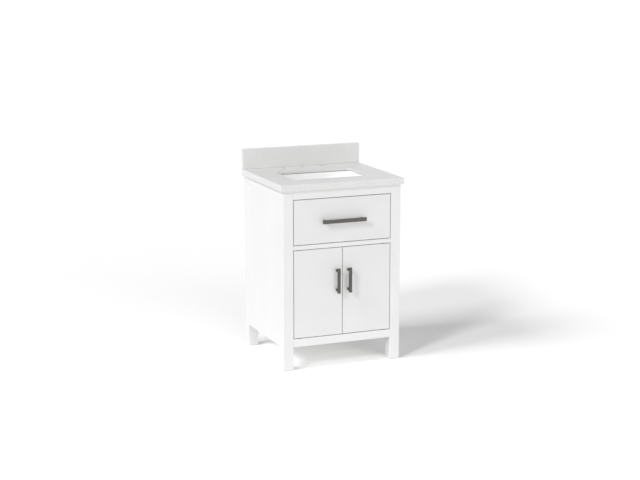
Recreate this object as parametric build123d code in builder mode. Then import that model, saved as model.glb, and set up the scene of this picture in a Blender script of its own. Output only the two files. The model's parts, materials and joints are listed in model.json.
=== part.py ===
"""Free-standing bathroom vanity: a painted leg-and-rail cabinet with one drawer and
two doors, a stone top with its upstand, and a basin fixed under the top.

Frame: millimetres, +Z up, front towards -Y, origin on the floor under the middle.
"""
from build123d import *
import os

os.makedirs("parts", exist_ok=True)

# ---------------------------------------------------------------- driving dimensions
CABINET_WIDTH = 610.0
CABINET_DEPTH = 546.0
CABINET_TOP = 876.0          # underside of the stone top
LEG = 51.0                   # square leg
GLIDE = 3.0                  # nylon glide under each leg
REVEAL = 3.0                 # gap around the drawer front and the doors
FRONT_THICKNESS = 19.0       # doors, drawer front and face rails

TOP_WIDTH = 635.0
TOP_THICKNESS = 32.0         # at its built-up edge
SLAB_THICKNESS = 12.0        # inside that edge
TOP_NOSE = 13.0              # the top stands this far in front of the cabinet
UPSTAND_HEIGHT = 102.0
UPSTAND_THICKNESS = 20.0

PULL_REACH = 34.0            # front of a pull, measured from the face it is fixed to
PULL_BAR_DEPTH = 10.0
PULL_POST = 11.0
DRAWER_PULL = (224.0, 192.0, 18.0)  # overall length, distance between the posts, height across the bar
DOOR_PULL = (122.0, 96.0, 13.0)
PULL_FROM_MIDDLE = 30.0      # door pull, from the line where the doors meet

# Heights of the openings in the front.
BOTTOM_RAIL = (115.0, 155.0)
DIVIDER = (590.5, 611.5)
TOP_RAIL_BOTTOM = 834.0
DRAWER_PULL_Z = 722.5
DOOR_PULL_Z = 429.0

# Basin and tap holes, as depths behind the cabinet's face.
CUTOUT = (394.0, 256.0)
CUTOUT_MIDDLE = 252.0
CUTOUT_CORNER = 18.0
TAP_HOLE_RADIUS = 17.5
TAP_HOLE_SPACING = 101.6
TAP_HOLE_DEPTH = 498.0
DRAIN_RADIUS = 22.5
DRAIN_DEPTH = 275.0
BOWL_FLOOR = 752.0

# Drawer slides: three telescoping members on each side.
SLIDE_LENGTH = 450.0
SLIDE_Z = 665.0
SLIDE_THICKNESS = 12.7
SHEET = 1.2

# Pivot hinge: the pin stands inside the door's corner.
PIN_FROM_EDGE = 9.0
PIN_FROM_FACE = 6.0
PIN_RADIUS = 2.0
PIN_PLAY = 0.06

# ---------------------------------------------------------------- worked-out positions
FACE = -(CABINET_DEPTH - PULL_REACH) / 2      # y of the cabinet's front face
HALF = CABINET_WIDTH / 2
OPENING = HALF - LEG                          # half the clear width between the legs
TOP_Z = CABINET_TOP + TOP_THICKNESS
SLAB_BOTTOM = TOP_Z - SLAB_THICKNESS
BACK_LEG = CABINET_DEPTH - LEG                # depth of a back leg's front
PANEL_THICKNESS = 16.0
PANEL_SET_IN = 2.0
PANEL_INSIDE = HALF - PANEL_SET_IN - PANEL_THICKNESS
RAIL_DEPTH = 19.0
BACK_SKIN = 6.0
BACK_SKIN_DEPTH = CABINET_DEPTH - RAIL_DEPTH - BACK_SKIN
FLOOR_THICKNESS = 15.0
DIVIDER_DEPTH = 45.0

SIDES = (("left", -1), ("right", 1))


def save(piece, name):
    """Label a finished piece and write it out."""
    piece.part.label = name
    export_step(piece.part, f"parts/{name}.step")


def span(side, near, far):
    """The X span from near to far, measured outwards on one side of the middle."""
    return tuple(sorted((side * near, side * far)))


def board(x_span, depths, heights):
    """A rectangular board, its depths measured back from the cabinet's face."""
    middle = ((x_span[0] + x_span[1]) / 2, FACE + (depths[0] + depths[1]) / 2)
    with BuildPart() as piece:
        with BuildSketch(Plane.XY.offset(heights[0])):
            with Locations(middle):
                Rectangle(x_span[1] - x_span[0], depths[1] - depths[0])
        extrude(amount=heights[1] - heights[0])
    return piece


def drilled(blank, *cutters):
    """A board with the shape of its fasteners or fittings taken out of it."""
    with BuildPart() as piece:
        add(blank.part)
        for cutter in cutters:
            add(cutter.part, mode=Mode.SUBTRACT)
    return piece


def facing(x, depth, z, normal, along=(1, 0, 0)):
    """A sketch plane at a point behind the face, with its normal and its first axis."""
    return Plane(origin=(x, FACE + depth, z), x_dir=along, z_dir=normal)


# ---------------------------------------------------------------- fasteners
PAN_HEAD = (4.0, 2.4)        # radius, height
FLAT_HEAD = (3.0, 1.6)
COUNTERSINK = 43.0           # slope of a flat head's underside, in degrees
MACHINE_SHANK = 2.0
WOOD_SHANK = 1.5


def pan_screws(planes, shank, length):
    """Pan-head screws: each plane lies under the head, its normal on the head's side."""
    with BuildPart() as screws:
        for plane in planes:
            with BuildSketch(plane):
                Circle(PAN_HEAD[0])
            extrude(amount=PAN_HEAD[1])
            with BuildSketch(plane):
                Circle(shank)
            extrude(amount=-length)
    return screws


def flat_screws(planes, length):
    """Countersunk wood screws: each plane lies on the head's flat top."""
    with BuildPart() as screws:
        for plane in planes:
            with BuildSketch(plane):
                Circle(FLAT_HEAD[0])
            extrude(amount=-FLAT_HEAD[1], taper=COUNTERSINK)
            with BuildSketch(plane):
                Circle(WOOD_SHANK)
            extrude(amount=-length)
    return screws


INTO_PULL = 12.0             # length of a pull's screw inside its post
SUBFRONT_THICKNESS = 12.0
DRAWER_FRONT_STACK = FRONT_THICKNESS + SUBFRONT_THICKNESS

drawer_pull_screws = pan_screws(
    [facing(x, DRAWER_FRONT_STACK, DRAWER_PULL_Z, (0, 1, 0))
     for x in (-DRAWER_PULL[1] / 2, DRAWER_PULL[1] / 2)],
    MACHINE_SHANK, DRAWER_FRONT_STACK + INTO_PULL)
save(drawer_pull_screws, "drawer_pull_screws")

door_pull_screws = {}
for name, side in SIDES:
    door_pull_screws[name] = pan_screws(
        [facing(side * PULL_FROM_MIDDLE, FRONT_THICKNESS, DOOR_PULL_Z + half, (0, 1, 0))
         for half in (-DOOR_PULL[1] / 2, DOOR_PULL[1] / 2)],
        MACHINE_SHANK, FRONT_THICKNESS + INTO_PULL)
    save(door_pull_screws[name], f"{name}_door_pull_screws")

SLIDE_FRONT = FRONT_THICKNESS + 3.0
SLIDE_SCREWS = (20.0, 215.0, 410.0)           # along the slide, from its front end
DRAWER_SIDE_OUTSIDE = OPENING - SLIDE_THICKNESS

frame_screw_planes = []
drawer_screw_planes = []
for side in (-1, 1):
    for along in SLIDE_SCREWS:
        frame_screw_planes.append(
            facing(side * (OPENING - SHEET), SLIDE_FRONT + along, SLIDE_Z, (-side, 0, 0), (0, 1, 0)))
        drawer_screw_planes.append(
            facing(side * (DRAWER_SIDE_OUTSIDE + SHEET), SLIDE_FRONT + along, SLIDE_Z,
                   (side, 0, 0), (0, 1, 0)))
slide_frame_screws = pan_screws(frame_screw_planes, MACHINE_SHANK, length=14.0)
save(slide_frame_screws, "slide_frame_screws")
slide_drawer_screws = pan_screws(drawer_screw_planes, MACHINE_SHANK, length=11.0)
save(slide_drawer_screws, "slide_drawer_screws")

# ---------------------------------------------------------------- pivot hinges
LEAF = (42.0, 12.0, 2.5)
LEAF_FROM_FACE = 8.0
LEAF_FROM_EDGE = 3.0                          # end of a leaf, from the door's edge
PIN_LENGTH = 11.5
PIN_HOLE_PLAY = 0.6                           # around a pin inside the door's wood
SHOULDER = (3.6, 2.8)                         # radius and height of the ring that the door turns on
PIN_X = OPENING - REVEAL - PIN_FROM_EDGE
LEAF_X = OPENING - REVEAL - LEAF_FROM_EDGE - LEAF[0] / 2
LEAF_SCREWS = (-5.0, -16.0)                   # from the leaf's middle, towards the door's middle
DOOR_HEIGHTS = (BOTTOM_RAIL[1] + REVEAL, DIVIDER[0] - REVEAL)


def leaf(side, z, up, thickness_up):
    """One leaf, made from height z by thickness_up, and its screw planes, which look along up."""
    with BuildPart() as plate:
        with BuildSketch(facing(side * LEAF_X, LEAF_FROM_FACE, z, (0, 0, 1))):
            RectangleRounded(LEAF[0], LEAF[1], 2.0)
        extrude(amount=thickness_up)
    planes = [facing(side * (LEAF_X + shift), LEAF_FROM_FACE, z, (0, 0, up))
              for shift in LEAF_SCREWS]
    return plate, planes


frame_leaf_blanks = {}
door_leaf_blanks = {}
frame_leaf_screw_planes = []
door_hinge_screws = {}
for name, side in SIDES:
    top, top_planes = leaf(side, DIVIDER[0], -1, LEAF[2])
    bottom, bottom_planes = leaf(side, BOTTOM_RAIL[1], 1, -LEAF[2])
    frame_leaf_blanks[name] = (top, bottom)
    frame_leaf_screw_planes += top_planes + bottom_planes
    top, top_planes = leaf(side, DOOR_HEIGHTS[1], 1, -LEAF[2])
    bottom, bottom_planes = leaf(side, DOOR_HEIGHTS[0], -1, LEAF[2])
    door_leaf_blanks[name] = (top, bottom)
    door_hinge_screws[name] = flat_screws(top_planes + bottom_planes, length=16.0)
    save(door_hinge_screws[name], f"{name}_door_hinge_screws")
frame_hinge_screws = flat_screws(frame_leaf_screw_planes, length=14.0)
save(frame_hinge_screws, "frame_hinge_screws")

for name, side in SIDES:
    # Frame leaves carry the pins. The lower one has a shoulder that the door turns on.
    with BuildPart() as frame_leaves:
        for blank in frame_leaf_blanks[name]:
            add(blank.part)
        add(frame_hinge_screws.part, mode=Mode.SUBTRACT)
        for z, length in ((DIVIDER[0], -PIN_LENGTH), (BOTTOM_RAIL[1], PIN_LENGTH)):
            with BuildSketch(facing(side * PIN_X, PIN_FROM_FACE, z, (0, 0, 1))):
                Circle(PIN_RADIUS)
            extrude(amount=length)
        with BuildSketch(facing(side * PIN_X, PIN_FROM_FACE, BOTTOM_RAIL[1], (0, 0, 1))):
            Circle(SHOULDER[0])
        extrude(amount=SHOULDER[1])
    save(frame_leaves, f"{name}_hinge_frame_leaves")

    with BuildPart() as door_leaves:
        for blank in door_leaf_blanks[name]:
            add(blank.part)
        add(door_hinge_screws[name].part, mode=Mode.SUBTRACT)
        with BuildSketch(facing(side * PIN_X, PIN_FROM_FACE, DOOR_HEIGHTS[0], (0, 0, 1))):
            Circle(PIN_RADIUS + PIN_PLAY)
        extrude(amount=DOOR_HEIGHTS[1] - DOOR_HEIGHTS[0], mode=Mode.SUBTRACT)
    save(door_leaves, f"{name}_hinge_door_leaves")

# ---------------------------------------------------------------- legs and glides
LEG_EASE = 1.5
GLIDE_RADIUS = 14.0

for end, depths in (("front", (0, LEG)), ("back", (BACK_LEG, CABINET_DEPTH))):
    for name, side in SIDES:
        blank = board(span(side, OPENING, HALF), depths, (GLIDE, CABINET_TOP))
        with BuildPart() as leg:
            add(blank.part)
            fillet(leg.edges().filter_by(Axis.Z), radius=LEG_EASE)
            chamfer(leg.faces().sort_by(Axis.Z)[0].edges(), length=LEG_EASE)
            add(slide_frame_screws.part, mode=Mode.SUBTRACT)
        save(leg, f"{end}_{name}_leg")

with BuildPart() as foot_glides:
    with BuildSketch(Plane.XY):
        for x in (-HALF + LEG / 2, HALF - LEG / 2):
            for depth in (LEG / 2, CABINET_DEPTH - LEG / 2):
                with Locations((x, FACE + depth)):
                    Circle(GLIDE_RADIUS)
    extrude(amount=GLIDE)
    chamfer(foot_glides.faces().sort_by(Axis.Z)[0].edges(), length=1)
save(foot_glides, "foot_glides")

# ---------------------------------------------------------------- rails and panels
RAIL_EASE = 1.0
PANEL_BOTTOM = 112.0
CLEAT_HALF = 45.0
BACK_RAIL_BOTTOM = 790.0


def face_rail(heights, depth, eased, *cutters):
    """A rail between the front legs, its front edges at the eased heights rounded."""
    blank = board((-OPENING, OPENING), (0, depth), heights)
    with BuildPart() as rail:
        add(blank.part)
        front = rail.faces().sort_by(Axis.Y)[0].edges().filter_by(Axis.X)
        chosen = [edge for edge in front if any(abs(edge.center().Z - z) < 0.1 for z in eased)]
        fillet(chosen, radius=RAIL_EASE)
        for cutter in cutters:
            add(cutter.part, mode=Mode.SUBTRACT)
    return rail


save(face_rail((TOP_RAIL_BOTTOM, CABINET_TOP), RAIL_DEPTH, (TOP_RAIL_BOTTOM,)), "top_rail")
upper_leaves = [blanks[0] for blanks in frame_leaf_blanks.values()]
save(face_rail(DIVIDER, DIVIDER_DEPTH, DIVIDER, frame_hinge_screws, *upper_leaves), "divider_rail")
lower_leaves = [blanks[1] for blanks in frame_leaf_blanks.values()]
save(face_rail(BOTTOM_RAIL, RAIL_DEPTH, BOTTOM_RAIL, frame_hinge_screws, *lower_leaves), "bottom_rail")

for name, side in SIDES:
    panel = board(span(side, PANEL_INSIDE, HALF - PANEL_SET_IN), (LEG, BACK_LEG),
                  (PANEL_BOTTOM, CABINET_TOP))
    save(panel, f"{name}_side_panel")
    cleat = board(span(side, OPENING, PANEL_INSIDE), (LEG, BACK_LEG),
                  (SLIDE_Z - CLEAT_HALF, SLIDE_Z + CLEAT_HALF))
    save(drilled(cleat, slide_frame_screws), f"{name}_slide_cleat")

# The floor is notched round the legs and fills the space between the side panels.
with BuildPart() as floor_panel:
    for half, depths in ((OPENING, (RAIL_DEPTH, LEG)), (PANEL_INSIDE, (LEG, BACK_LEG)),
                         (OPENING, (BACK_LEG, CABINET_DEPTH - RAIL_DEPTH))):
        with BuildSketch(Plane.XY.offset(BOTTOM_RAIL[1] - FLOOR_THICKNESS)):
            with Locations((0, FACE + (depths[0] + depths[1]) / 2)):
                Rectangle(2 * half, depths[1] - depths[0])
        extrude(amount=FLOOR_THICKNESS)
save(floor_panel, "floor_panel")

back_depths = (CABINET_DEPTH - RAIL_DEPTH, CABINET_DEPTH)
save(board((-OPENING, OPENING), back_depths, (BACK_RAIL_BOTTOM, CABINET_TOP)), "back_top_rail")
save(board((-OPENING, OPENING), back_depths, BOTTOM_RAIL), "back_bottom_rail")

PIPE_OPENING = (340.0, 280.0)
PIPE_OPENING_Z = 510.0
PIPE_OPENING_CORNER = 20.0
with BuildPart() as back_panel:
    add(board((-OPENING, OPENING), (BACK_SKIN_DEPTH, BACK_SKIN_DEPTH + BACK_SKIN),
              (BOTTOM_RAIL[1], CABINET_TOP)).part)
    with BuildSketch(facing(0, BACK_SKIN_DEPTH, PIPE_OPENING_Z, (0, 1, 0))):
        RectangleRounded(*PIPE_OPENING, PIPE_OPENING_CORNER)
    extrude(amount=BACK_SKIN, mode=Mode.SUBTRACT)
save(back_panel, "back_panel")

# Triangular gussets brace the top corners, notched round the legs.
GUSSET = 110.0
GUSSET_HEIGHTS = (858.0, CABINET_TOP)
with BuildPart() as corner_gussets:
    for side in (-1, 1):
        for wall, inward in ((RAIL_DEPTH, 1), (BACK_SKIN_DEPTH, -1)):
            corner = (side * PANEL_INSIDE, FACE + wall)
            with BuildSketch(Plane.XY.offset(GUSSET_HEIGHTS[0])):
                with BuildLine():
                    Polyline(corner, (corner[0] - side * GUSSET, corner[1]),
                             (corner[0], corner[1] + inward * GUSSET), close=True)
                make_face()
                leg_middle = LEG / 2 if inward > 0 else CABINET_DEPTH - LEG / 2
                with Locations((side * (HALF - LEG / 2), FACE + leg_middle)):
                    Rectangle(LEG, LEG, mode=Mode.SUBTRACT)
            extrude(amount=GUSSET_HEIGHTS[1] - GUSSET_HEIGHTS[0])
save(corner_gussets, "corner_gussets")

# ---------------------------------------------------------------- stone top
CLIP_DEPTHS = (180.0, 324.0)
CLIP_X = 236.0
CLIP_SHEET = 3.0
clip_screws = pan_screws(
    [facing(side * CLIP_X, depth, SLAB_BOTTOM - CLIP_SHEET, (0, 0, -1))
     for side in (-1, 1) for depth in CLIP_DEPTHS],
    MACHINE_SHANK, length=11.0)
save(clip_screws, "basin_clip_screws")

BUILT_UP_EDGE = 50.0                          # width of the thick edge at the front and the ends
HOLLOW = (BUILT_UP_EDGE - TOP_NOSE, CABINET_DEPTH - RAIL_DEPTH)
top_depth = CABINET_DEPTH + TOP_NOSE
with BuildPart() as countertop:
    with BuildSketch(Plane.XY.offset(CABINET_TOP)):
        with Locations((0, FACE + CABINET_DEPTH - top_depth / 2)):
            Rectangle(TOP_WIDTH, top_depth)
        with Locations((0, FACE + CUTOUT_MIDDLE)):
            RectangleRounded(*CUTOUT, CUTOUT_CORNER, mode=Mode.SUBTRACT)
        with Locations([(n * TAP_HOLE_SPACING, FACE + TAP_HOLE_DEPTH) for n in (-1, 0, 1)]):
            Circle(TAP_HOLE_RADIUS, mode=Mode.SUBTRACT)
    extrude(amount=TOP_THICKNESS)
    corners = countertop.edges().filter_by(Axis.Z).group_by(SortBy.DISTANCE)[-1]
    front_corners = corners.sort_by(Axis.Y)[:2]
    fillet(front_corners, radius=4)
    outline = countertop.faces().sort_by(Axis.Z)[-1].outer_wire().edges()
    back_line = outline.sort_by(Axis.Y)[-1]
    fillet([edge for edge in outline if edge != back_line], radius=2.5)
    fillet(countertop.faces().sort_by(Axis.Z)[-1].inner_wires().edges(), radius=1.5)
    # The thick edge is built up from strips, so the underside is hollow inside it.
    with BuildSketch(Plane.XY.offset(CABINET_TOP)):
        with Locations((0, FACE + (HOLLOW[0] + HOLLOW[1]) / 2)):
            Rectangle(TOP_WIDTH - 2 * BUILT_UP_EDGE, HOLLOW[1] - HOLLOW[0])
    extrude(amount=TOP_THICKNESS - SLAB_THICKNESS, mode=Mode.SUBTRACT)
    add(clip_screws.part, mode=Mode.SUBTRACT)
save(countertop, "countertop")

with BuildPart() as backsplash:
    add(board((-TOP_WIDTH / 2, TOP_WIDTH / 2), (CABINET_DEPTH - UPSTAND_THICKNESS, CABINET_DEPTH),
              (TOP_Z, TOP_Z + UPSTAND_HEIGHT)).part)
    upper = backsplash.faces().sort_by(Axis.Z)[-1].edges()
    fillet(upper.sort_by(Axis.Y)[:-1], radius=2)
save(backsplash, "backsplash")

# ---------------------------------------------------------------- basin
BOWL_TOP = (CUTOUT[0] + 6, CUTOUT[1] + 6)     # the bowl is set back under the stone's edge
WALL = 9.0
FLANGE = 22.0
SEALANT = 3.0                                 # thickness of the joint between the stone and the flange
RIM_RADIUS = 4.0
BASIN_TOP = SLAB_BOTTOM - SEALANT
FLANGE_BOTTOM = BASIN_TOP - 15
BOWL_DRAFT = 12.0                             # how far each wall leans in by the bowl's floor
SHELL_BOTTOM = BOWL_FLOOR - 12
DUCT_BOTTOM = SHELL_BOTTOM - 18
DUCT_DEPTHS = (92.0, 130.0)                   # the overflow duct on the front wall
DUCT_TOP = 874.0
DUCT_WIDTH = 46.0
DUCT_WALL = 6.0
DRAIN_BOSS = 38.0
PASSAGE = (24.0, 7.0)                         # width and thickness of the way down the duct
PASSAGE_TOP = 865.0
OVERFLOW_Z = 853.0
OVERFLOW_RADIUS = 9.0
DRAIN_SEAT = (32.0, 90.0, 3.0)                # inner radius, outer radius and depth of the dish

bowl_middle = (0, FACE + CUTOUT_MIDDLE)
with BuildPart() as basin:
    # Outer shell, leaning in towards the bottom.
    for z, inset, corner in ((BASIN_TOP, 0, 30), (SHELL_BOTTOM, BOWL_DRAFT, 44)):
        with BuildSketch(Plane.XY.offset(z)):
            with Locations(bowl_middle):
                RectangleRounded(BOWL_TOP[0] + 2 * (WALL - inset), BOWL_TOP[1] + 2 * (WALL - inset), corner)
    loft()
    fillet(basin.faces().sort_by(Axis.Z)[0].edges(), radius=20)
    # Overflow duct, down the front and under the floor to the drain.
    for depths, top in ((DUCT_DEPTHS, DUCT_TOP), ((DUCT_DEPTHS[0], DRAIN_DEPTH), SHELL_BOTTOM + 2)):
        with BuildSketch(Plane.XY.offset(DUCT_BOTTOM)):
            with Locations((0, FACE + (depths[0] + depths[1]) / 2)):
                Rectangle(DUCT_WIDTH, depths[1] - depths[0])
        extrude(amount=top - DUCT_BOTTOM)
    with BuildSketch(Plane.XY.offset(DUCT_BOTTOM)):
        with Locations((0, FACE + DRAIN_DEPTH)):
            Circle(DRAIN_BOSS)
    extrude(amount=SHELL_BOTTOM + 2 - DUCT_BOTTOM)
    # Flat flange, sealed to the underside of the stone.
    with BuildSketch(Plane.XY.offset(FLANGE_BOTTOM)):
        with Locations(bowl_middle):
            RectangleRounded(BOWL_TOP[0] + 2 * FLANGE, BOWL_TOP[1] + 2 * FLANGE, 34)
    extrude(amount=BASIN_TOP - FLANGE_BOTTOM)
    # The bowl.
    for z, inset, corner in ((BASIN_TOP, 0, 21), (BOWL_FLOOR, BOWL_DRAFT, 36)):
        with BuildSketch(Plane.XY.offset(z)):
            with Locations(bowl_middle):
                RectangleRounded(BOWL_TOP[0] - 2 * inset, BOWL_TOP[1] - 2 * inset, corner)
    loft(mode=Mode.SUBTRACT)
    bowl_floor = basin.faces().filter_by(Plane.XY).filter_by(
        lambda face: abs(face.center().Z - BOWL_FLOOR) < 0.01)
    fillet(bowl_floor.edges(), radius=22)
    fillet(basin.faces().sort_by(Axis.Z)[-1].inner_wires().edges(), radius=RIM_RADIUS)
    # Drain: a shallow dish, a seat for the waste's flange, and the hole.
    with Locations((0, FACE + DRAIN_DEPTH, BOWL_FLOOR - DRAIN_SEAT[2])):
        Cone(bottom_radius=DRAIN_SEAT[0], top_radius=DRAIN_SEAT[1], height=DRAIN_SEAT[2],
             align=(Align.CENTER, Align.CENTER, Align.MIN), mode=Mode.SUBTRACT)
    with BuildSketch(Plane.XY.offset(DUCT_BOTTOM)):
        with Locations((0, FACE + DRAIN_DEPTH)):
            Circle(DRAIN_RADIUS)
    extrude(amount=BOWL_FLOOR - DUCT_BOTTOM, mode=Mode.SUBTRACT)
    # Overflow: a round hole in the front wall, and the passage inside the duct.
    passage_front = DUCT_DEPTHS[0] + DUCT_WALL
    with BuildSketch(facing(0, passage_front, OVERFLOW_Z, (0, 1, 0))):
        Circle(OVERFLOW_RADIUS)
    extrude(amount=40, mode=Mode.SUBTRACT)
    for depths, top in (((passage_front, passage_front + PASSAGE[1]), PASSAGE_TOP),
                        ((passage_front, DRAIN_DEPTH - 10), SHELL_BOTTOM - 4)):
        with BuildSketch(Plane.XY.offset(DUCT_BOTTOM + DUCT_WALL)):
            with Locations((0, FACE + (depths[0] + depths[1]) / 2)):
                Rectangle(PASSAGE[0], depths[1] - depths[0])
        extrude(amount=top - DUCT_BOTTOM - DUCT_WALL, mode=Mode.SUBTRACT)
save(basin, "basin")

# The bead of sealant, held back behind the rounded rim.
SEALANT_SETBACK = 5.5                         # from the bowl's edge, and from the flange's
with BuildPart() as basin_sealant:
    with BuildSketch(Plane.XY.offset(BASIN_TOP)):
        with Locations(bowl_middle):
            outer = 2 * (FLANGE - SEALANT_SETBACK)
            inner = 2 * SEALANT_SETBACK
            RectangleRounded(BOWL_TOP[0] + outer, BOWL_TOP[1] + outer, 34 - SEALANT_SETBACK)
            RectangleRounded(BOWL_TOP[0] + inner, BOWL_TOP[1] + inner, 21 + SEALANT_SETBACK,
                             mode=Mode.SUBTRACT)
    extrude(amount=SEALANT)
save(basin_sealant, "basin_sealant")

# Z-shaped clips hold the flange up against the stone.
CLIP_WIDTH = 24.0
CLIP_END = 246.0
CLIP_GRIP = 10.0                              # how far a clip reaches under the flange
FLANGE_EDGE = BOWL_TOP[0] / 2 + FLANGE
CLIP_RISER = FLANGE_EDGE + 0.3
CLIP_STRIPS = (                               # near edge, far edge, bottom, top
    (FLANGE_EDGE - CLIP_GRIP, CLIP_RISER + CLIP_SHEET, FLANGE_BOTTOM - CLIP_SHEET, FLANGE_BOTTOM),
    (CLIP_RISER, CLIP_RISER + CLIP_SHEET, FLANGE_BOTTOM - CLIP_SHEET, SLAB_BOTTOM),
    (CLIP_RISER, CLIP_END, SLAB_BOTTOM - CLIP_SHEET, SLAB_BOTTOM),
)
with BuildPart() as basin_clips:
    for side in (-1, 1):
        for depth in CLIP_DEPTHS:
            with BuildSketch(facing(0, depth - CLIP_WIDTH / 2, 0, (0, 1, 0))):
                for near, far, low, high in CLIP_STRIPS:
                    with Locations((side * (near + far) / 2, -(low + high) / 2)):
                        Rectangle(far - near, high - low)
            extrude(amount=CLIP_WIDTH)
    add(clip_screws.part, mode=Mode.SUBTRACT)
save(basin_clips, "basin_clips")

# ---------------------------------------------------------------- drawer slides
CHANNELS = {                                  # web's outer face and open edge from the leg, half height
    "frame": (0.0, 9.4, 22.5),
    "middle": (5.4, 10.4, 20.7),
    "drawer": (12.7, 7.2, 18.8),
}


def channel(side, web, lip, half_height):
    """A thin steel channel along one side, its web and lips measured in from the leg."""
    inward = 1 if lip > web else -1
    with BuildPart() as member:
        with BuildSketch(facing(0, SLIDE_FRONT, SLIDE_Z, (0, 1, 0))):
            with Locations((side * (OPENING - (web + lip) / 2), 0)):
                Rectangle(abs(lip - web), 2 * half_height)
            with Locations((side * (OPENING - (web + lip) / 2 - inward * SHEET / 2), 0)):
                Rectangle(abs(lip - web) - SHEET, 2 * (half_height - SHEET), mode=Mode.SUBTRACT)
        extrude(amount=SLIDE_LENGTH)
    return member


for name, side in SIDES:
    save(drilled(channel(side, *CHANNELS["frame"]), slide_frame_screws), f"{name}_slide_frame_member")
    save(channel(side, *CHANNELS["middle"]), f"{name}_slide_middle_member")
    save(drilled(channel(side, *CHANNELS["drawer"]), slide_drawer_screws), f"{name}_slide_drawer_member")

# ---------------------------------------------------------------- drawer
BOX_SIDE = 12.0
BOX_INSIDE = DRAWER_SIDE_OUTSIDE - BOX_SIDE
BOX_DEPTHS = (FRONT_THICKNESS, FRONT_THICKNESS + 450.0)
BOX_HEIGHTS = (622.0, 752.0)
BOTTOM_HEIGHTS = (628.0, 634.0)
GROOVE = 6.0
FRONT_EASE = 1.2                              # rounding on the edges of the drawer front and doors
LOW_WALL_TOP = 702.0                          # walls that pass under the basin
NOTCH_HALF = 85.0
NOTCH_DEPTH = 200.0                           # the notch for the waste pipe opens to the back

with BuildPart() as drawer_front:
    add(board((-OPENING + REVEAL, OPENING - REVEAL), (0, FRONT_THICKNESS),
              (DIVIDER[1] + REVEAL, TOP_RAIL_BOTTOM - REVEAL)).part)
    fillet(drawer_front.edges(), radius=FRONT_EASE)
    add(drawer_pull_screws.part, mode=Mode.SUBTRACT)
save(drawer_front, "drawer_front")

with BuildPart() as drawer_bottom:
    with BuildSketch(Plane.XY.offset(BOTTOM_HEIGHTS[0])):
        front_edge = BOX_DEPTHS[0] + SUBFRONT_THICKNESS - GROOVE
        with Locations((0, FACE + (front_edge + BOX_DEPTHS[1]) / 2)):
            Rectangle(2 * (BOX_INSIDE + GROOVE), BOX_DEPTHS[1] - front_edge)
        with Locations((0, FACE + (NOTCH_DEPTH + BOX_DEPTHS[1]) / 2)):
            Rectangle(2 * NOTCH_HALF, BOX_DEPTHS[1] - NOTCH_DEPTH, mode=Mode.SUBTRACT)
    extrude(amount=BOTTOM_HEIGHTS[1] - BOTTOM_HEIGHTS[0])
save(drawer_bottom, "drawer_bottom")

subfront = board((-BOX_INSIDE, BOX_INSIDE),
                 (BOX_DEPTHS[0], BOX_DEPTHS[0] + SUBFRONT_THICKNESS), BOX_HEIGHTS)
save(drilled(subfront, drawer_bottom, drawer_pull_screws), "drawer_subfront")

low_wall = (BOTTOM_HEIGHTS[1], LOW_WALL_TOP)
notch_outside = NOTCH_HALF + BOX_SIDE
for name, side in SIDES:
    drawer_side = board(span(side, BOX_INSIDE, DRAWER_SIDE_OUTSIDE), BOX_DEPTHS, BOX_HEIGHTS)
    save(drilled(drawer_side, drawer_bottom, slide_drawer_screws), f"drawer_{name}_side")
    back = board(span(side, notch_outside, BOX_INSIDE),
                 (BOX_DEPTHS[1] - BOX_SIDE, BOX_DEPTHS[1]), low_wall)
    save(back, f"drawer_{name}_back")
    notch_side = board(span(side, NOTCH_HALF, notch_outside), (NOTCH_DEPTH, BOX_DEPTHS[1]), low_wall)
    save(notch_side, f"drawer_{name}_notch_side")
notch_front = board((-notch_outside, notch_outside),
                    (NOTCH_DEPTH - BOX_SIDE, NOTCH_DEPTH), low_wall)
save(notch_front, "drawer_notch_front")


# ---------------------------------------------------------------- pulls
def pull(x, z, along, size, screws):
    """A square bar on two posts; along is the bar's direction."""
    length, posts, bar_height = size
    face = facing(x, 0, z, (0, -1, 0), along)
    with BuildPart() as handle:
        with BuildSketch(face):
            with Locations((-posts / 2, 0), (posts / 2, 0)):
                Rectangle(PULL_POST, PULL_POST)
        extrude(amount=PULL_REACH - PULL_BAR_DEPTH)
        with BuildSketch(face.offset(PULL_REACH - PULL_BAR_DEPTH)):
            Rectangle(length, bar_height)
        extrude(amount=PULL_BAR_DEPTH)
        fillet(handle.faces().sort_by(Axis.Y)[0].edges(), radius=1.0)
        add(screws.part, mode=Mode.SUBTRACT)
    return handle


save(pull(0, DRAWER_PULL_Z, (1, 0, 0), DRAWER_PULL, drawer_pull_screws), "drawer_pull")
for name, side in SIDES:
    handle = pull(side * PULL_FROM_MIDDLE, DOOR_PULL_Z, (0, 0, 1), DOOR_PULL, door_pull_screws[name])
    save(handle, f"{name}_door_pull")

# ---------------------------------------------------------------- doors and their catch
CATCH = (44.0, 23.0, 13.0)
CATCH_FRONT = FRONT_THICKNESS + 2.0
STRIKE = (18.0, 1.0, 11.0)
STRIKE_FROM_MIDDLE = 3.0

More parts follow.
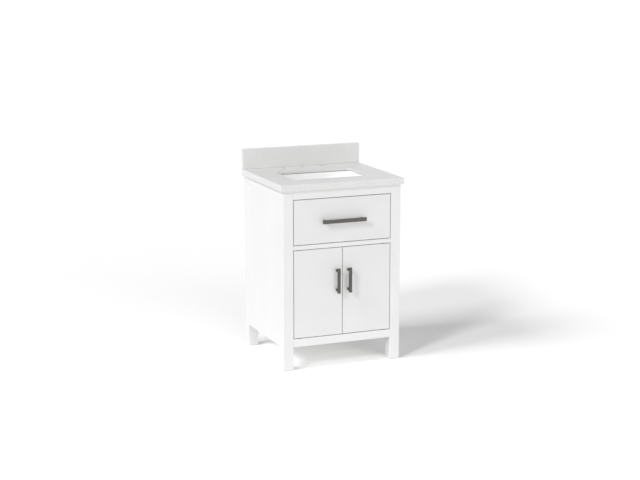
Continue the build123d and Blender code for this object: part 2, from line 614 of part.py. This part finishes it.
for name, side in SIDES:
    with BuildPart() as door:
        add(board(span(side, REVEAL / 2, OPENING - REVEAL), (0, FRONT_THICKNESS), DOOR_HEIGHTS).part)
        fillet(door.edges(), radius=FRONT_EASE)
        for blank in door_leaf_blanks[name]:
            add(blank.part, mode=Mode.SUBTRACT)
        add(door_hinge_screws[name].part, mode=Mode.SUBTRACT)
        add(door_pull_screws[name].part, mode=Mode.SUBTRACT)
        for z, inward in ((DOOR_HEIGHTS[1], -1), (DOOR_HEIGHTS[0], 1)):
            with BuildSketch(facing(side * PIN_X, PIN_FROM_FACE, z, (0, 0, 1))):
                Circle(PIN_RADIUS + PIN_HOLE_PLAY)
            extrude(amount=inward * PIN_LENGTH, mode=Mode.SUBTRACT)
    save(door, f"{name}_door")
    strike = board(span(side, STRIKE_FROM_MIDDLE, STRIKE_FROM_MIDDLE + STRIKE[0]),
                   (FRONT_THICKNESS, FRONT_THICKNESS + STRIKE[1]),
                   (DOOR_HEIGHTS[1] - STRIKE[2], DOOR_HEIGHTS[1]))
    save(strike, f"{name}_door_strike")

with BuildPart() as magnetic_catch:
    add(board((-CATCH[0] / 2, CATCH[0] / 2), (CATCH_FRONT, CATCH_FRONT + CATCH[1]),
              (DIVIDER[0] - CATCH[2], DIVIDER[0])).part)
    fillet(magnetic_catch.edges().filter_by(Axis.Y), radius=2)
save(magnetic_catch, "magnetic_catch")
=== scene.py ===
"""Bathroom vanity: finishes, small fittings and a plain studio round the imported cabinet."""
import json
import math

import bmesh
import bpy
from mathutils import Matrix, Vector

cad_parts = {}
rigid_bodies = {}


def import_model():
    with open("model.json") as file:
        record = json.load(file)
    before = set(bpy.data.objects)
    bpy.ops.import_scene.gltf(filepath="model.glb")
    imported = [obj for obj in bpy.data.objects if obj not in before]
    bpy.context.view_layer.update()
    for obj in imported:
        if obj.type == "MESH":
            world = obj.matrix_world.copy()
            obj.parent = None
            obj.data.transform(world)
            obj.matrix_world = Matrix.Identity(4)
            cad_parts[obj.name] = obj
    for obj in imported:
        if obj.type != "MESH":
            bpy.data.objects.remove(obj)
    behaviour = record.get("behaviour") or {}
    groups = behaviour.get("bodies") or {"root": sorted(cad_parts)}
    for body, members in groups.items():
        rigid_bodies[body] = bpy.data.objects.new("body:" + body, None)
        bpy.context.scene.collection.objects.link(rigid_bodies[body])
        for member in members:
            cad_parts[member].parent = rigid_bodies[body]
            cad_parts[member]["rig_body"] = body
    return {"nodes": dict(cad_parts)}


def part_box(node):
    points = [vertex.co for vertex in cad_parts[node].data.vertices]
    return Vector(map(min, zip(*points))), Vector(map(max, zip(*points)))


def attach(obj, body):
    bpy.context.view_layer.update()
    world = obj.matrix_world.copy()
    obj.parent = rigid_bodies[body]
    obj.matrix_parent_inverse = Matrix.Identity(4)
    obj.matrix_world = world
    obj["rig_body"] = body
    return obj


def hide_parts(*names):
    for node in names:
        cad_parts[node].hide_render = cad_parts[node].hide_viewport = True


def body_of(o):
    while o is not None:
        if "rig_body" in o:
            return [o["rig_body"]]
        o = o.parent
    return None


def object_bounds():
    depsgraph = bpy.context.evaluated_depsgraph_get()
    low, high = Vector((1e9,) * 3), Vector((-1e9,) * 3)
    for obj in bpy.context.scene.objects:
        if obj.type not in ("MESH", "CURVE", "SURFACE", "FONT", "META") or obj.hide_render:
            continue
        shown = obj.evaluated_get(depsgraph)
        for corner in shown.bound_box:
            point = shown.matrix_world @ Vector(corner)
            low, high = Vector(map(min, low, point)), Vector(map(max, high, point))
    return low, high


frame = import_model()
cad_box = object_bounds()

NODES = frame["nodes"]
MM = 0.001

bpy.ops.object.select_all(action="DESELECT")


# ---------------------------------------------------------------- building finishes
class Finish:
    """A node material, with short names for the nodes that its patterns are made of."""

    def __init__(self, name, color, roughness, metallic=0.0, **sockets):
        self.material = bpy.data.materials.new(name)
        self.material.use_nodes = True
        self.tree = self.material.node_tree
        self.shader = self.tree.nodes["Principled BSDF"]
        self.shader.inputs["Base Color"].default_value = (*color, 1.0)
        self.shader.inputs["Roughness"].default_value = roughness
        self.shader.inputs["Metallic"].default_value = metallic
        for socket, value in sockets.items():
            self.shader.inputs[socket.replace("_", " ")].default_value = value
        self.coords = self.tree.nodes.new("ShaderNodeTexCoord")

    def link(self, out, into):
        self.tree.links.new(out, into)

    def place(self, scale=(1, 1, 1)):
        """Object coordinates, stretched."""
        mapping = self.tree.nodes.new("ShaderNodeMapping")
        mapping.inputs["Scale"].default_value = scale
        self.link(self.coords.outputs["Object"], mapping.inputs["Vector"])
        return mapping.outputs["Vector"]

    def noise(self, where, scale, detail=3.0, roughness=0.5, distortion=0.0):
        texture = self.tree.nodes.new("ShaderNodeTexNoise")
        texture.inputs["Scale"].default_value = scale
        texture.inputs["Detail"].default_value = detail
        texture.inputs["Roughness"].default_value = roughness
        texture.inputs["Distortion"].default_value = distortion
        self.link(where, texture.inputs["Vector"])
        return texture.outputs["Fac"]

    def cells(self, where, scale, output="Distance"):
        texture = self.tree.nodes.new("ShaderNodeTexVoronoi")
        texture.inputs["Scale"].default_value = scale
        self.link(where, texture.inputs["Vector"])
        return texture.outputs[output]

    def waves(self, where, scale, direction, distortion, detail):
        texture = self.tree.nodes.new("ShaderNodeTexWave")
        texture.bands_direction = direction
        texture.inputs["Scale"].default_value = scale
        texture.inputs["Distortion"].default_value = distortion
        texture.inputs["Detail"].default_value = detail
        self.link(where, texture.inputs["Vector"])
        return texture.outputs["Fac"]

    def spread(self, value, low, high, to_low=0.0, to_high=1.0):
        """The part of a pattern from low to high, carried to another span."""
        node = self.tree.nodes.new("ShaderNodeMapRange")
        node.inputs["From Min"].default_value = low
        node.inputs["From Max"].default_value = high
        node.inputs["To Min"].default_value = to_low
        node.inputs["To Max"].default_value = to_high
        self.link(value, node.inputs["Value"])
        return node.outputs["Result"]

    def math(self, operation, first, second):
        node = self.tree.nodes.new("ShaderNodeMath")
        node.operation = operation
        for socket, value in zip(node.inputs, (first, second)):
            if isinstance(value, (int, float)):
                socket.default_value = value
            else:
                self.link(value, socket)
        return node.outputs["Value"]

    def mix(self, amount, first, second):
        """A blend of two colours, each a colour or another node's output."""
        node = self.tree.nodes.new("ShaderNodeMix")
        node.data_type = "RGBA"
        self.link(amount, node.inputs["Factor"])
        for socket, value in ((node.inputs["A"], first), (node.inputs["B"], second)):
            if isinstance(value, tuple):
                socket.default_value = (*value, 1.0)
            else:
                self.link(value, socket)
        return node.outputs["Result"]

    def color(self, value):
        self.link(value, self.shader.inputs["Base Color"])

    def roughness(self, value):
        self.link(value, self.shader.inputs["Roughness"])

    def bumps(self, *layers):
        """Relief from (height, depth in metres) layers, one on top of another."""
        normal = None
        for height, depth in layers:
            node = self.tree.nodes.new("ShaderNodeBump")
            node.inputs["Strength"].default_value = 1.0
            node.inputs["Distance"].default_value = depth
            self.link(height, node.inputs["Height"])
            if normal is not None:
                self.link(normal, node.inputs["Normal"])
            normal = node.outputs["Normal"]
        self.link(normal, self.shader.inputs["Normal"])


def tint(color, factor):
    return tuple(min(1.0, channel * factor) for channel in color)


# ---------------------------------------------------------------- the finishes
def satin_lacquer(name, white):
    """White sprayed lacquer: a faint orange peel, slight cloudiness in tone and gloss."""
    paint = Finish(name, white, 0.34)
    here = paint.place()
    cloud = paint.noise(here, 7.0, detail=4.0)
    paint.color(paint.mix(paint.spread(cloud, 0.3, 0.7), tint(white, 0.985), tint(white, 1.01)))
    paint.roughness(paint.spread(paint.noise(here, 30.0, detail=5.0), 0.3, 0.7, 0.30, 0.40))
    peel = paint.noise(here, 420.0, detail=2.0)
    spray = paint.noise(here, 2600.0, detail=1.0)
    paint.bumps((peel, 0.000018), (spray, 0.000005))
    return paint.material


def inside_lacquer():
    """The flatter coat on the faces inside the cabinet and on the back panel."""
    white = (0.77, 0.77, 0.76)
    paint = Finish("inside_lacquer", white, 0.5)
    here = paint.place()
    fibre = paint.noise(paint.place(scale=(1.0, 1.0, 0.12)), 260.0, detail=4.0)
    paint.color(paint.mix(paint.spread(fibre, 0.3, 0.7), tint(white, 0.97), tint(white, 1.02)))
    paint.roughness(paint.spread(paint.noise(here, 45.0), 0.3, 0.7, 0.44, 0.56))
    paint.bumps((fibre, 0.00004))
    return paint.material


def engineered_stone():
    """Pale honed stone: tight grains of three tones with a soft cloud behind them."""
    ground = (0.645, 0.645, 0.641)
    stone = Finish("engineered_stone", ground, 0.46, Specular_IOR_Level=0.5)
    here = stone.place()
    grain = stone.cells(here, 620.0, "Color")
    split = stone.tree.nodes.new("ShaderNodeSeparateColor")
    stone.link(grain, split.inputs["Color"])
    pale = stone.spread(split.outputs["Red"], 0.80, 0.86)
    dark = stone.spread(split.outputs["Green"], 0.90, 0.95)
    cloud = stone.spread(stone.noise(here, 9.0, detail=6.0, roughness=0.6), 0.35, 0.65)
    base = stone.mix(cloud, tint(ground, 0.985), tint(ground, 1.012))
    base = stone.mix(pale, base, tint(ground, 1.07))
    base = stone.mix(dark, base, tint(ground, 0.87))
    stone.color(base)
    stone.roughness(stone.spread(stone.noise(here, 180.0, detail=4.0), 0.3, 0.7, 0.42, 0.50))
    stone.bumps((stone.cells(here, 620.0), 0.000003))
    return stone.material


def china_glaze():
    """Fired white glaze: deep gloss over a very slight slump."""
    white = (0.94, 0.94, 0.936)
    glaze = Finish("china_glaze", white, 0.12, Coat_Weight=0.6, Coat_Roughness=0.04)
    here = glaze.place()
    cloud = glaze.noise(here, 14.0, detail=3.0)
    glaze.color(glaze.mix(glaze.spread(cloud, 0.3, 0.7), tint(white, 0.985), tint(white, 1.01)))
    glaze.roughness(glaze.spread(glaze.noise(here, 90.0), 0.3, 0.7, 0.08, 0.16))
    slump = glaze.noise(here, 28.0, detail=1.0)
    pores = glaze.noise(here, 700.0, detail=1.0)
    glaze.bumps((slump, 0.0003), (pores, 0.000006))
    return glaze.material


def brushed_nickel(name, grain):
    """Dark plated metal with fine brush lines along the bar; grain is the pattern's scale per axis."""
    metal_color = (0.115, 0.110, 0.103)
    metal = Finish(name, metal_color, 0.36, metallic=1.0, Anisotropic=0.4)
    lines = metal.noise(metal.place(scale=grain), 1.0, detail=5.0, roughness=0.65)
    broad = metal.noise(metal.place(), 40.0, detail=3.0)
    worn = metal.math("ADD", lines, metal.math("MULTIPLY", broad, 0.5))
    metal.color(metal.mix(metal.spread(lines, 0.3, 0.7), tint(metal_color, 0.86), tint(metal_color, 1.16)))
    metal.roughness(metal.spread(worn, 0.55, 0.95, 0.30, 0.44))
    metal.bumps((lines, 0.000012))
    return metal.material


def plated_steel(name, color, streak, roughness=(0.24, 0.4)):
    """Rolled and plated sheet steel with light drawing marks along streak."""
    steel = Finish(name, color, sum(roughness) / 2, metallic=1.0)
    lines = steel.noise(steel.place(scale=streak), 1.0, detail=4.0, roughness=0.6)
    bloom = steel.noise(steel.place(), 55.0, detail=5.0, roughness=0.6)
    steel.color(steel.mix(steel.spread(bloom, 0.35, 0.65), tint(color, 0.9), tint(color, 1.06)))
    steel.roughness(steel.spread(steel.math("ADD", lines, bloom), 0.7, 1.3, *roughness))
    steel.bumps((lines, 0.000008))
    return steel.material


def birch_ply(name, thickness, grain):
    """Lacquered birch plywood: face veneer with its grain, and layered edges across its thickness."""
    pale, honey, pore = (0.71, 0.55, 0.37), (0.60, 0.43, 0.26), (0.42, 0.27, 0.15)
    ply = Finish(name, pale, 0.42)
    stretch = [9.0, 9.0, 9.0]
    stretch["XYZ".index(grain)] = 0.7
    figure = ply.noise(ply.place(scale=tuple(stretch)), 6.0, detail=5.0, distortion=0.5)
    fine = [420.0, 420.0, 420.0]
    fine["XYZ".index(grain)] = 14.0
    fibres = ply.noise(ply.place(scale=tuple(fine)), 1.0, detail=3.0)
    face = ply.mix(ply.spread(figure, 0.35, 0.68), pale, honey)
    face = ply.mix(ply.spread(fibres, 0.62, 0.80), face, pore)
    layers = ply.waves(ply.place(), 111.0, thickness, distortion=0.15, detail=1.0)
    edge = ply.mix(ply.spread(layers, 0.35, 0.65), (0.66, 0.50, 0.33), (0.40, 0.26, 0.15))
    edge = ply.mix(ply.spread(fibres, 0.6, 0.85), edge, pore)
    split = ply.tree.nodes.new("ShaderNodeSeparateXYZ")
    ply.link(ply.coords.outputs["Normal"], split.inputs["Vector"])
    facing = ply.spread(ply.math("ABSOLUTE", split.outputs[thickness], 0.0), 0.5, 0.7)
    ply.color(ply.mix(facing, edge, face))
    ply.roughness(ply.spread(fibres, 0.3, 0.8, 0.36, 0.52))
    ply.bumps((fibres, 0.00003))
    return ply.material


def planed_pine(name, grain):
    """Unfinished softwood with early and late wood bands."""
    pale, late = (0.66, 0.48, 0.29), (0.46, 0.28, 0.14)
    wood = Finish(name, pale, 0.62)
    stretch = [1.0, 1.0, 1.0]
    stretch["XYZ".index(grain)] = 0.06
    rings = wood.waves(wood.place(scale=tuple(stretch)), 55.0, "DIAGONAL", distortion=3.0, detail=3.0)
    fine = [380.0, 380.0, 380.0]
    fine["XYZ".index(grain)] = 10.0
    fibres = wood.noise(wood.place(scale=tuple(fine)), 1.0, detail=3.0)
    growth = wood.mix(wood.spread(rings, 0.45, 0.95), pale, late)
    wood.color(wood.mix(wood.spread(fibres, 0.5, 0.9), growth, late))
    wood.roughness(wood.spread(rings, 0.0, 1.0, 0.68, 0.55))
    wood.bumps((fibres, 0.00006), (rings, 0.00003))
    return wood.material


def moulded_plastic(name, color, roughness):
    """Moulded plastic with a fine spark-eroded texture."""
    plastic = Finish(name, color, roughness)
    here = plastic.place()
    sparks = plastic.noise(here, 1500.0, detail=2.0)
    cloud = plastic.spread(plastic.noise(here, 60.0), 0.3, 0.7)
    plastic.color(plastic.mix(cloud, tint(color, 0.97), tint(color, 1.02)))
    plastic.roughness(plastic.spread(sparks, 0.3, 0.7, roughness - 0.05, roughness + 0.07))
    plastic.bumps((sparks, 0.00001))
    return plastic.material


LACQUER = satin_lacquer("satin_lacquer", (0.716, 0.716, 0.714))
DOOR_LACQUER = satin_lacquer("satin_lacquer_fronts", (0.688, 0.688, 0.686))
INSIDE = inside_lacquer()
STONE = engineered_stone()
GLAZE = china_glaze()
NICKEL_ACROSS = brushed_nickel("brushed_nickel_across", (25.0, 2600.0, 2600.0))
NICKEL_UPRIGHT = brushed_nickel("brushed_nickel_upright", (2600.0, 2600.0, 25.0))
ZINC = plated_steel("zinc_plate", (0.60, 0.61, 0.62), (900.0, 12.0, 900.0))
SCREW_ZINC = plated_steel("screw_zinc", (0.62, 0.62, 0.61), (700.0, 700.0, 700.0), (0.2, 0.34))
HINGE_STEEL = plated_steel("hinge_steel", (0.52, 0.52, 0.53), (14.0, 900.0, 900.0))
PLY_X = birch_ply("birch_ply_sides", "X", "Y")
PLY_Y = birch_ply("birch_ply_ends", "Y", "X")
PLY_Z = birch_ply("birch_ply_bottom", "Z", "X")
PINE_Y = planed_pine("planed_pine_cleats", "Y")
PINE_X = planed_pine("planed_pine_gussets", "X")
SEALANT = moulded_plastic("grey_sealant", (0.30, 0.30, 0.295), 0.42)
JOINT = moulded_plastic("joint_silicone", (0.50, 0.50, 0.49), 0.38)
MAGNET_STEEL = plated_steel("pole_plates", (0.50, 0.50, 0.51), (30.0, 800.0, 800.0), (0.28, 0.42))
NYLON = moulded_plastic("glide_nylon", (0.62, 0.62, 0.60), 0.5)
CATCH_WHITE = moulded_plastic("catch_white", (0.74, 0.74, 0.73), 0.42)

FINISHES = {
    "countertop": STONE, "backsplash": STONE, "basin": GLAZE, "basin_clips": ZINC,
    "basin_sealant": SEALANT, "left_door": DOOR_LACQUER, "right_door": DOOR_LACQUER,
    "drawer_pull": NICKEL_ACROSS, "left_door_pull": NICKEL_UPRIGHT, "right_door_pull": NICKEL_UPRIGHT,
    "foot_glides": NYLON, "magnetic_catch": CATCH_WHITE, "corner_gussets": PINE_X,
    "drawer_bottom": PLY_Z, "drawer_subfront": PLY_Y, "drawer_notch_front": PLY_Y,
    "back_panel": INSIDE, "floor_panel": INSIDE, "drawer_front": DOOR_LACQUER,
}
FINISH_BY_ENDING = (
    ("_screws", SCREW_ZINC), ("_member", ZINC), ("_leaves", HINGE_STEEL), ("_strike", ZINC),
    ("_cleat", PINE_Y), ("_notch_side", PLY_X), ("_back", PLY_Y),
)


def finish_for(name):
    if name in FINISHES:
        return FINISHES[name]
    if name in ("drawer_left_side", "drawer_right_side"):
        return PLY_X
    for ending, material in FINISH_BY_ENDING:
        if name.endswith(ending):
            return material
    return LACQUER


for name, node in NODES.items():
    for slot in node.material_slots:
        slot.material = finish_for(name)

# ---------------------------------------------------------------- making pieces
def edit(mode):
    bpy.ops.object.mode_set(mode="EDIT")
    bpy.ops.mesh.select_mode(type=mode)


def finished(piece, name, material, body, smooth=35.0):
    """Names a piece, settles its transform, gives it its finish and puts it on its body."""
    bpy.ops.object.select_all(action="DESELECT")
    piece.select_set(True)
    bpy.context.view_layer.objects.active = piece
    bpy.ops.object.transform_apply(location=True, rotation=True, scale=True)
    bpy.ops.object.mode_set(mode="EDIT")
    bpy.ops.mesh.select_all(action="SELECT")
    bpy.ops.mesh.remove_doubles(threshold=0.000005)
    bpy.ops.mesh.normals_make_consistent(inside=False)
    bpy.ops.object.mode_set(mode="OBJECT")
    bpy.ops.object.shade_smooth_by_angle(angle=math.radians(smooth))
    piece.name = name
    piece.data.name = name
    piece.data.materials.clear()
    piece.data.materials.append(material)
    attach(piece, body)
    piece.select_set(False)
    return piece


def turned(rings, sides):
    """A turned part on the Z axis: rings of (radius, height), both ends closed."""
    bpy.ops.object.select_all(action="DESELECT")
    bpy.ops.mesh.primitive_circle_add(vertices=sides, radius=rings[0][0], fill_type="NGON",
                                      location=(0, 0, rings[0][1]))
    part = bpy.context.object
    bpy.ops.object.transform_apply(location=True)
    edit("FACE")
    bpy.ops.mesh.select_all(action="SELECT")
    for (radius, height), (next_radius, next_height) in zip(rings, rings[1:]):
        bpy.ops.mesh.extrude_region_move(
            TRANSFORM_OT_translate={"value": (0, 0, next_height - height)})
        grow = next_radius / radius
        bpy.ops.transform.resize(value=(grow, grow, 1), center_override=(0, 0, 0))
    bpy.ops.object.mode_set(mode="OBJECT")
    return part


def block(low, high, bevel, segments=3):
    """A box between two corners with its edges rounded."""
    bpy.ops.object.select_all(action="DESELECT")
    low, high = Vector(low), Vector(high)
    bpy.ops.mesh.primitive_cube_add(size=1.0, location=(low + high) / 2)
    part = bpy.context.object
    part.scale = high - low
    bpy.ops.object.transform_apply(location=True, scale=True)
    edit("EDGE")
    bpy.ops.mesh.select_all(action="SELECT")
    bpy.ops.mesh.bevel(offset=bevel, segments=segments, affect="EDGES")
    bpy.ops.object.mode_set(mode="OBJECT")
    return part


def cut_away(part, cutter):
    """Cuts one part out of another and clears the cutter away."""
    bpy.ops.object.select_all(action="DESELECT")
    part.select_set(True)
    bpy.context.view_layer.objects.active = part
    cut = part.modifiers.new("cut", "BOOLEAN")
    cut.operation = "DIFFERENCE"
    cut.solver = "EXACT"
    cut.object = cutter
    bpy.ops.object.modifier_apply(modifier=cut.name)
    bpy.data.objects.remove(cutter)


def joined(parts):
    """Several parts made into one."""
    bpy.ops.object.select_all(action="DESELECT")
    for part in parts:
        part.select_set(True)
    bpy.context.view_layer.objects.active = parts[0]
    if len(parts) > 1:
        bpy.ops.object.join()
    return parts[0]


def another(part, turn, place):
    """A copy of a part with its own mesh, turned and moved into place."""
    copy = part.copy()
    copy.data = part.data.copy()
    bpy.context.scene.collection.objects.link(copy)
    copy.matrix_world = Matrix.Translation(place) @ turn.to_matrix().to_4x4()
    return copy


# ---------------------------------------------------------------- screws
PAN_RINGS = ((3.75, -2.4), (4.0, -2.1), (3.95, -1.3), (3.4, -0.55), (2.2, -0.08), (1.2, 0.0))
FLAT_RINGS = ((1.55, -1.6), (2.95, -0.22), (3.0, -0.05), (2.9, 0.0))
PITCH = 1.4
CORE, CREST = 1.55, 1.98               # the shank's radius between its threads and on them
NECK = 1.6                             # its radius where there is no thread
POINT, POINT_LENGTH = 1.1, 0.9
RECESS_LENGTH, RECESS_WIDTH, RECESS_DEPTH = 3.0, 0.62, 1.15
RECESS_CLEAR = 0.6                     # how far the cutter stands above the head
TURN_BETWEEN_SCREWS = 0.7              # screws don't stop with their recesses in line
SCREW_SIDES = 20


def loose_solids(node):
    """The corner points of each separate solid in a CAD node."""
    shell = bmesh.new()
    shell.from_mesh(NODES[node].data)
    bmesh.ops.remove_doubles(shell, verts=shell.verts, dist=0.00001)
    waiting = set(shell.verts)
    solids = []
    while waiting:
        reached = [waiting.pop()]
        for vert in reached:
            for edge in vert.link_edges:
                beside = edge.other_vert(vert)
                if beside in waiting:
                    waiting.remove(beside)
                    reached.append(beside)
        solids.append([vert.co.copy() for vert in reached])
    shell.free()
    return solids


def screw_place(points):
    """The middle of a screw's head, the way its head faces, its length."""
    lowest = Vector([min(point[i] for point in points) for i in range(3)])
    highest = Vector([max(point[i] for point in points) for i in range(3)])
    size = highest - lowest
    middle = (lowest + highest) / 2
    along = max(range(3), key=lambda i: size[i])
    across = [i for i in range(3) if i != along]
    widest = max(points, key=lambda point: sum((point[i] - middle[i]) ** 2 for i in across))
    up = 1.0 if widest[along] > middle[along] else -1.0
    head = middle.copy()
    head[along] = highest[along] if up > 0 else lowest[along]
    faces = Vector((0.0, 0.0, 0.0))
    faces[along] = up
    return head, faces, size[along]


def screw(head_rings, length):
    """A cross-recess screw, its head up at the origin and its shank down the Z axis."""
    neck = head_rings[0][1]
    turns = int((length / MM + neck - NECK) / PITCH)
    shank = [(POINT, -length / MM), (NECK, -length / MM + POINT_LENGTH)]
    for turn in reversed(range(turns)):
        height = neck - 0.5 - turn * PITCH
        shank += [(CORE, height - 0.75), (CREST, height - 0.45), (CREST, height - 0.30)]
    shank += [(NECK, neck - 0.3), (NECK, neck)]
    rings = [(radius * MM, height * MM) for radius, height in (*shank, *head_rings)]
    part = turned(rings, SCREW_SIDES)
    for width, height in ((RECESS_LENGTH, RECESS_WIDTH), (RECESS_WIDTH, RECESS_LENGTH)):
        blade = block((-width / 2 * MM, -height / 2 * MM, -RECESS_DEPTH * MM),
                      (width / 2 * MM, height / 2 * MM, RECESS_CLEAR * MM), 0.08 * MM, 1)
        cut_away(part, blade)
    return part


SCREW_NODES = {
    "drawer_pull_screws": PAN_RINGS, "left_door_pull_screws": PAN_RINGS,
    "right_door_pull_screws": PAN_RINGS, "slide_frame_screws": PAN_RINGS,
    "slide_drawer_screws": PAN_RINGS, "basin_clip_screws": PAN_RINGS,
    "left_door_hinge_screws": FLAT_RINGS, "right_door_hinge_screws": FLAT_RINGS,
    "frame_hinge_screws": FLAT_RINGS,
}
UP = Vector((0, 0, 1))
for node, head_rings in SCREW_NODES.items():
    places = [screw_place(points) for points in loose_solids(node)]
    pattern = screw(head_rings, places[0][2])
    copies = []
    for count, (head, faces, length) in enumerate(places):
        spun = Matrix.Rotation(TURN_BETWEEN_SCREWS * count, 3, "Z").to_quaternion()
        driven = UP.rotation_difference(faces) @ spun
        copies.append(another(pattern, driven, head))
    bpy.data.objects.remove(pattern)
    piece = finished(joined(copies), f"{node}_cross_head", SCREW_ZINC,
                     body_of(NODES[node])[0], 30.0)
    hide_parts(node)

# ---------------------------------------------------------------- joint behind the top
top_low, top_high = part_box("countertop")
upstand_low, upstand_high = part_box("backsplash")
BEAD = 2.4 * MM
bead = block((upstand_low[0] + MM, upstand_low[1] - BEAD, top_high[2] - 0.2 * MM),
             (upstand_high[0] - MM, upstand_low[1] + 0.2 * MM, top_high[2] + BEAD), 0.9 * MM, 4)
finished(bead, "upstand_joint", JOINT, "cabinet")

# ---------------------------------------------------------------- catch
PLATE_SHARE = 0.36                     # half a pole plate's width, as a share of the strike's
PLATE_LIFT = 0.2                       # a plate's distance from the catch's middle, as a share of its height
PLATE_HALF = 0.8 * MM
PLATE_PROUD = 0.35 * MM
PLATE_SUNK = 1.5 * MM
catch_low, catch_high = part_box("magnetic_catch")
catch_middle = (catch_low + catch_high) / 2
plates = []
for name in ("left", "right"):
    strike_low, strike_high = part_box(f"{name}_door_strike")
    half = (strike_high[0] - strike_low[0]) * PLATE_SHARE
    centre = (strike_low[0] + strike_high[0]) / 2
    for lift in (-1, 1):
        height = catch_middle[2] + lift * (catch_high[2] - catch_low[2]) * PLATE_LIFT
        plates.append(block((centre - half, catch_low[1] - PLATE_PROUD, height - PLATE_HALF),
                            (centre + half, catch_low[1] + PLATE_SUNK, height + PLATE_HALF), 0.2 * MM, 2))
finished(joined(plates), "catch_pole_plates", MAGNET_STEEL, "cabinet")

# ---------------------------------------------------------------- studio
FLOOR_RADIUS = 70.0
DAYLIGHT = math.pi                     # a sun of this strength lights a white face to full white
# Each lamp: heading from straight in front (negative is to the left), height, strength, softness.
LAMPS = {
    "key": (-85.35, 40.0, 0.49, 20.0),
    "front_left": (-57.0, 32.0, 0.39, 12.0),
    "low_front": (0.0, 16.0, 0.41, 50.0),
    "overhead": (-30.0, 80.0, 0.055, 60.0),
}
AMBIENT = 0.18
REFLECTED_STUDIO = 1.3                 # what polished faces see of the bright room round the set
FLOOR_GLOW = 0.138                     # the set's floor is lit from below as well


def sun(name, towards, strength, softness):
    """A broad distant light that shines from the direction towards."""
    data = bpy.data.lights.new(name, "SUN")
    data.energy = strength * DAYLIGHT
    data.angle = math.radians(softness)
    lamp = bpy.data.objects.new(name, data)
    lamp.rotation_euler = Vector(towards).to_track_quat("Z", "Y").to_euler()
    bpy.context.scene.collection.objects.link(lamp)


def heading(angle_from_front, height):
    """The direction at an angle to the right of straight in front, raised by height."""
    flat = math.cos(height)
    return (flat * math.sin(angle_from_front), -flat * math.cos(angle_from_front), math.sin(height))


for name, (angle, height, strength, softness) in LAMPS.items():
    sun(name, heading(math.radians(angle), math.radians(height)), strength, softness)

world = bpy.data.worlds.new("studio")
bpy.context.scene.world = world
world.use_nodes = True
sky = world.node_tree
ambient = sky.nodes["Background"]
ambient.inputs["Color"].default_value = (1, 1, 1, 1)
ambient.inputs["Strength"].default_value = AMBIENT
backdrop = sky.nodes.new("ShaderNodeBackground")
backdrop.inputs["Color"].default_value = (1, 1, 1, 1)
backdrop.inputs["Strength"].default_value = 1.0
mirrored = sky.nodes.new("ShaderNodeBackground")
mirrored.inputs["Color"].default_value = (1, 1, 1, 1)
mirrored.inputs["Strength"].default_value = REFLECTED_STUDIO
rays = sky.nodes.new("ShaderNodeLightPath")
glossy = sky.nodes.new("ShaderNodeMixShader")
sky.links.new(rays.outputs["Is Glossy Ray"], glossy.inputs["Fac"])
sky.links.new(ambient.outputs["Background"], glossy.inputs[1])
sky.links.new(mirrored.outputs["Background"], glossy.inputs[2])
choose = sky.nodes.new("ShaderNodeMixShader")
sky.links.new(rays.outputs["Is Camera Ray"], choose.inputs["Fac"])
sky.links.new(glossy.outputs["Shader"], choose.inputs[1])
sky.links.new(backdrop.outputs["Background"], choose.inputs[2])
sky.links.new(choose.outputs["Shader"], sky.nodes["World Output"].inputs["Surface"])

WHITE = (1.0, 1.0, 1.0)
floor_finish = Finish("studio_floor", WHITE, 0.9, Specular_IOR_Level=0.0,
                      Emission_Color=(*WHITE, 1.0), Emission_Strength=FLOOR_GLOW)
bpy.ops.mesh.primitive_circle_add(vertices=64, radius=FLOOR_RADIUS, fill_type="NGON", location=(0, 0, 0))
floor = bpy.context.object
floor.name = "studio_floor"
floor.data.materials.append(floor_finish.material)
floor.select_set(False)

# ---------------------------------------------------------------- camera
VIEW_AZIMUTH = math.radians(-22.402)
VIEW_ELEVATION = math.radians(11.584)
VIEW_DISTANCE = 7.3204
LENS = 83.06
AIM = Vector((-0.0146, -0.006, 0.5708 * cad_box[1][2]))

camera_data = bpy.data.cameras.new("camera")
camera_data.lens = LENS
camera_data.sensor_width = 36.0
camera_data.clip_end = 200.0
camera = bpy.data.objects.new("camera", camera_data)
bpy.context.scene.collection.objects.link(camera)
back = Vector((math.sin(VIEW_AZIMUTH) * math.cos(VIEW_ELEVATION),
               -math.cos(VIEW_AZIMUTH) * math.cos(VIEW_ELEVATION), math.sin(VIEW_ELEVATION)))
camera.location = AIM + back * VIEW_DISTANCE
camera.rotation_euler = back.to_track_quat("Z", "Y").to_euler()
bpy.context.scene.camera = camera
bpy.context.scene.view_settings.view_transform = "Standard"
